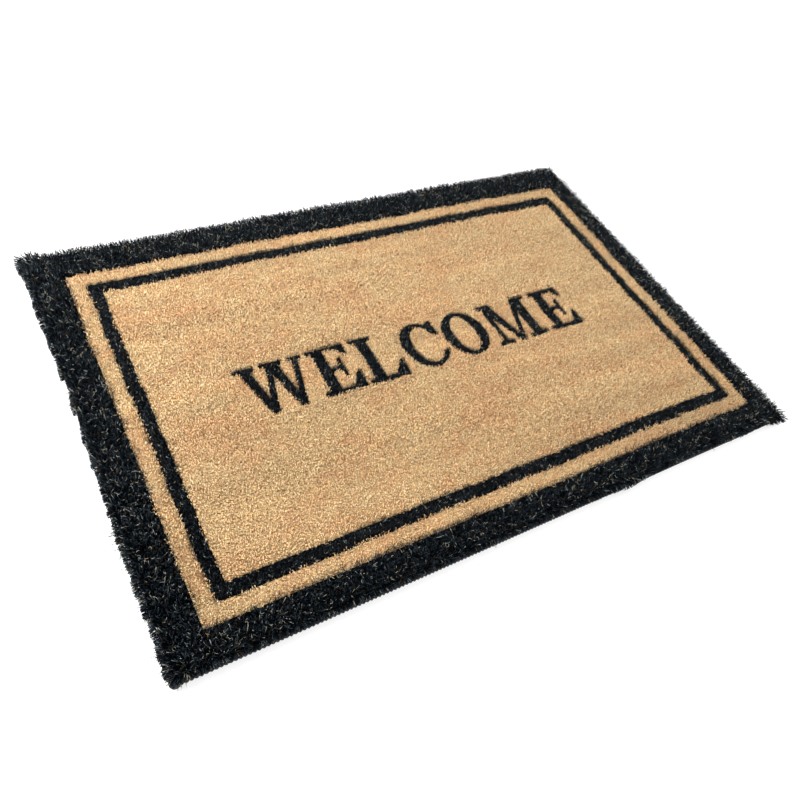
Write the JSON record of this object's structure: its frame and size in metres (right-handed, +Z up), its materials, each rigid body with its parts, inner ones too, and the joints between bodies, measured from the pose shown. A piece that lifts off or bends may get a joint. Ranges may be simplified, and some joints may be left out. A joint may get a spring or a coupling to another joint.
{
  "type": "door mat",
  "caption": "Rectangular hand-woven coir pile door mat: natural field with an inlaid dark greeting, dark line and wide dark border, on a woven ground with whipped edge plaits.",
  "frame": {"origin": "on the floor, under the middle of the mat's bounding box", "axes": "+X along the mat's length, to the right when the word is read; +Y towards the word's top; +Z up, out of the pile"},
  "size_m": [0.914, 0.61, 0.025],
  "materials": {
    "coir_natural_pile": "sheared natural coir pile, golden tan with cream, pink and brown flecks",
    "coir_black_pile": "blue-black dyed coir pile, shaggy at the border, with a few undyed fibres",
    "coir_ground": "plain woven coir yarn, brown",
    "coir_black_plait": "black-dyed coir plait",
    "twine_black": "black sewing twine, two-ply"
  },
  "bodies": {
    "root": {"ground_weave": "coir_ground", "edge_plait_front": "coir_black_plait", "edge_plait_back": "coir_black_plait", "edge_plait_left": "coir_black_plait", "edge_plait_right": "coir_black_plait", "edge_twine_front": "twine_black", "edge_twine_back": "twine_black", "edge_twine_left": "twine_black", "edge_twine_right": "twine_black", "border_pile_front": "coir_black_pile", "border_pile_back": "coir_black_pile", "border_pile_left": "coir_black_pile", "border_pile_right": "coir_black_pile", "band_pile_front": "coir_natural_pile", "band_pile_back": "coir_natural_pile", "band_pile_left": "coir_natural_pile", "band_pile_right": "coir_natural_pile", "line_pile_front": "coir_black_pile", "line_pile_back": "coir_black_pile", "line_pile_left": "coir_black_pile", "line_pile_right": "coir_black_pile", "field_pile": "coir_natural_pile", "o_middle_pile": "coir_natural_pile", "letter_1_w": "coir_black_pile", "letter_2_e": "coir_black_pile", "letter_3_l": "coir_black_pile", "letter_4_c": "coir_black_pile", "letter_5_o": "coir_black_pile", "letter_6_m": "coir_black_pile", "letter_7_e": "coir_black_pile"}
  },
  "joints": []
}
